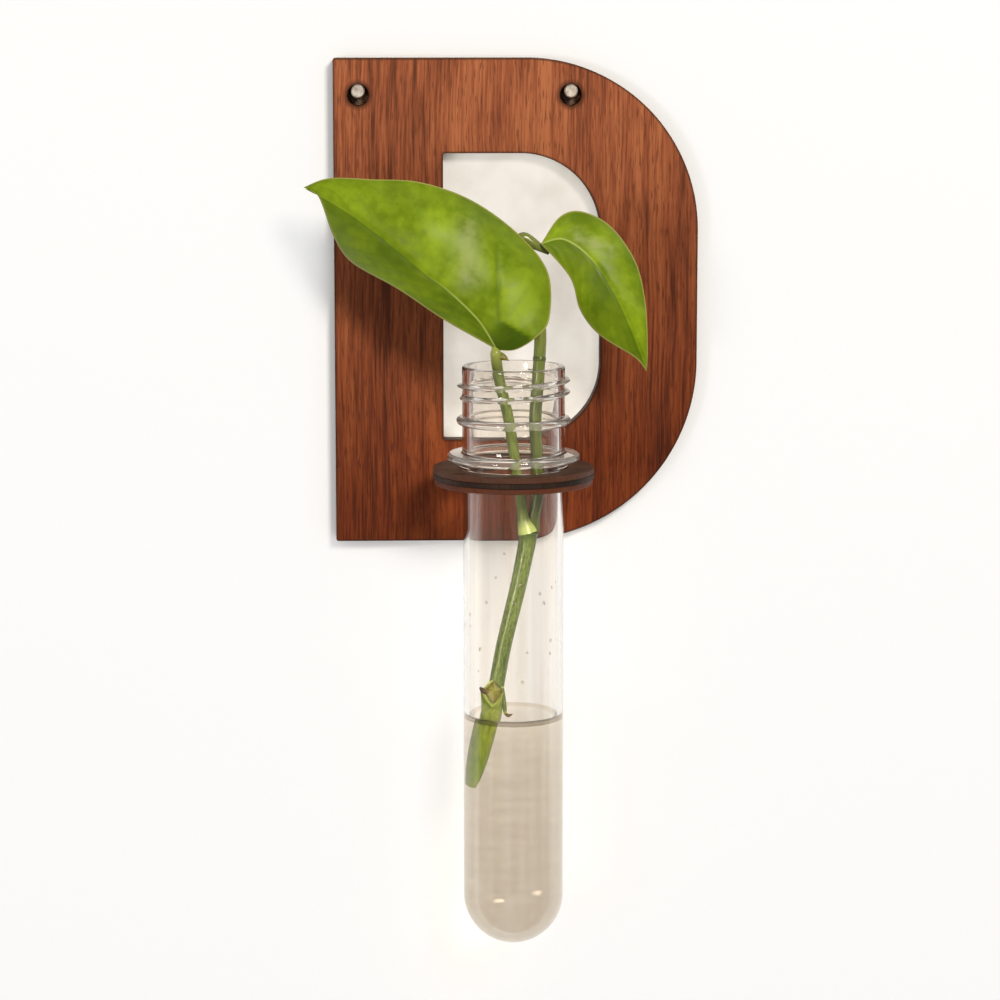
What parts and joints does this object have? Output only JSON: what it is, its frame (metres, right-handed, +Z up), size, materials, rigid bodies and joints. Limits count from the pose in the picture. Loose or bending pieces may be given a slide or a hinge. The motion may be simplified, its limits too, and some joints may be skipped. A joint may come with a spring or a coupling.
{
  "type": "propagation vase",
  "caption": "Wall-hung propagation vase: a pierced veneered plywood plate on pins, with a plywood ring that holds a clear screw-neck tube of water and a vine cutting.",
  "frame": {"origin": "midway between the axes of the two hanging pins, in the plane of the wall", "axes": "+X to the right as the vase is seen on its wall, +Y into the wall along the pins, +Z up"},
  "size_m": [0.0989, 0.069, 0.2223],
  "materials": {
    "walnut_veneer": "oiled walnut veneer",
    "plywood_core": "laser-charred edge",
    "ring_ply": "oiled walnut veneer",
    "ring_core": "laser-charred edge",
    "pin_steel": "plain drawn steel",
    "clear_plastic": "clear, moulded",
    "water": "clear",
    "stem": "waxy, green",
    "leaf": "waxy, bright green"
  },
  "bodies": {
    "plate": {"plate_core": "plywood_core", "plate_front_veneer": "walnut_veneer", "plate_back_veneer": "walnut_veneer", "hanging_pins": "pin_steel", "ring_top_ply": "ring_ply", "ring_core_ply": "ring_core", "ring_bottom_ply": "ring_ply"},
    "tube": {"test_tube": "clear_plastic", "water": "water"},
    "cutting": {"vine_stem": "stem", "petiole_large": "stem", "petiole_small": "stem", "leaf_large": "leaf", "leaf_small": "leaf"}
  },
  "joints": [
    {"name": "tube_lift", "type": "slide", "parent": "plate", "child": "tube", "axis": [0, 0, 1], "range_m": [0, 0.13]},
    {"name": "cutting_lift", "type": "slide", "parent": "tube", "child": "cutting", "axis": [0, 0, 1], "range_m": [0, 0.115], "deforming": ["water"]}
  ]
}
